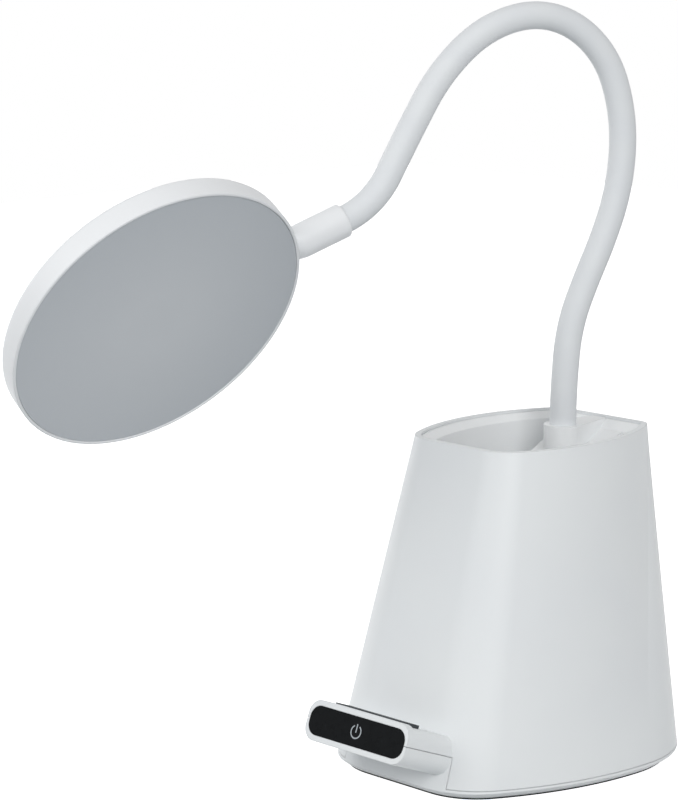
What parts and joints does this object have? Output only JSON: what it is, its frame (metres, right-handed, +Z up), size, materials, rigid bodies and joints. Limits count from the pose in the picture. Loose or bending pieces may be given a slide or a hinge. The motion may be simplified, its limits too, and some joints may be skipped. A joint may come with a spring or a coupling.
{
  "type": "desk lamp",
  "caption": "Gooseneck desk lamp with a round flat head; its tapering base is an open pen cup with a phone ledge that carries a touch panel.",
  "frame": {"origin": "centre of the foot pad's underside, on the desk", "axes": "+Z up, -Y toward the phone ledge and touch panel, +X to the right of someone looking along +Y"},
  "size_m": [0.1585, 0.2479, 0.2898],
  "materials": {
    "foot_foam": "dark closed-cell foam",
    "white_abs": "white moulded ABS, fine satin",
    "white_abs_liner": "white moulded ABS liner",
    "white_abs_head": "white moulded ABS",
    "strip_rubber": "dark grey rubber strip",
    "black_acrylic": "glossy black acrylic",
    "circuit_board": "green circuit board",
    "steel_plate": "cut steel plate",
    "zinc_screw": "zinc-plated steel",
    "turned_steel": "turned steel",
    "neck_steel": "wound steel conduit",
    "nickel_strip": "nickel strip",
    "socket_steel": "stamped steel",
    "cell_wrap": "shrink-wrapped steel can",
    "cradle_plastic": "black moulded plastic",
    "chip_black": "black epoxy",
    "white_silicone": "white silicone sleeve",
    "opal_sheet": "opal acrylic sheet, unlit",
    "led_board_alu": "white coated aluminium board",
    "led_phosphor": "yellow phosphor lamps"
  },
  "bodies": {
    "base": {"foot_pad": "foot_foam", "base_tray": "white_abs", "base_shell": "white_abs", "pen_cup": "white_abs_liner", "phone_pad": "strip_rubber", "touch_panel": "black_acrylic", "touch_board": "circuit_board", "ballast_plate": "steel_plate", "ballast_screws": "zinc_screw", "case_screws": "zinc_screw", "battery_cell": "cell_wrap", "battery_cradle": "cradle_plastic", "battery_contacts": "nickel_strip", "main_board": "circuit_board", "board_parts": "chip_black", "board_screws": "zinc_screw", "charging_socket": "socket_steel", "neck_fitting_lower": "turned_steel", "neck_washer": "turned_steel", "neck_nut": "turned_steel", "neck_core_0": "neck_steel", "neck_sleeve_1": "white_silicone"},
    "neck_link_1": {"neck_core_1": "neck_steel", "neck_sleeve_2": "white_silicone"},
    "neck_link_2": {"neck_core_2": "neck_steel", "neck_sleeve_3": "white_silicone"},
    "neck_link_3": {"neck_core_3": "neck_steel", "neck_sleeve_4": "white_silicone"},
    "neck_link_4": {"neck_core_4": "neck_steel", "neck_sleeve_5": "white_silicone"},
    "neck_link_5": {"neck_core_5": "neck_steel", "neck_sleeve_6": "white_silicone"},
    "head": {"neck_core_6": "neck_steel", "neck_fitting_upper": "turned_steel", "head_shell": "white_abs_head", "diffuser": "opal_sheet", "led_board": "led_board_alu", "led_chips": "led_phosphor", "led_screws": "zinc_screw", "collar_screw": "zinc_screw"}
  },
  "joints": [
    {"name": "neck_bend_1", "type": "hinge", "parent": "base", "child": "neck_link_1", "pos_m": [0.00045, 0.03414, 0.15347], "axis": [0.9298, -0.3681, 0], "range_deg": [-30, 30], "deforming": ["neck_sleeve_1"]},
    {"name": "neck_sway_2", "type": "hinge", "parent": "neck_link_1", "child": "neck_link_2", "pos_m": [0.00468, 0.04483, 0.18947], "axis": [-0.3336, -0.8427, 0.4226], "range_deg": [-30, 30], "deforming": ["neck_sleeve_2"]},
    {"name": "neck_bend_3", "type": "hinge", "parent": "neck_link_2", "child": "neck_link_3", "pos_m": [0.00895, 0.0556, 0.23362], "axis": [-0.9298, 0.3681, 0], "range_deg": [-25, 30], "deforming": ["neck_sleeve_3"]},
    {"name": "neck_bend_4", "type": "hinge", "parent": "neck_link_3", "child": "neck_link_4", "pos_m": [0.00118, 0.03597, 0.27954], "axis": [0.9298, -0.3681, 0], "range_deg": [-30, 25], "deforming": ["neck_sleeve_4"]},
    {"name": "neck_sway_5", "type": "hinge", "parent": "neck_link_4", "child": "neck_link_5", "pos_m": [-0.01564, -0.00649, 0.27415], "axis": [-0.2317, -0.5851, 0.7771], "range_deg": [-30, 30], "deforming": ["neck_sleeve_5"]},
    {"name": "neck_bend_6", "type": "hinge", "parent": "neck_link_5", "child": "head", "pos_m": [-0.02765, -0.03683, 0.22674], "axis": [0.9298, -0.3681, 0], "range_deg": [-30, 30], "deforming": ["neck_sleeve_6"]}
  ]
}
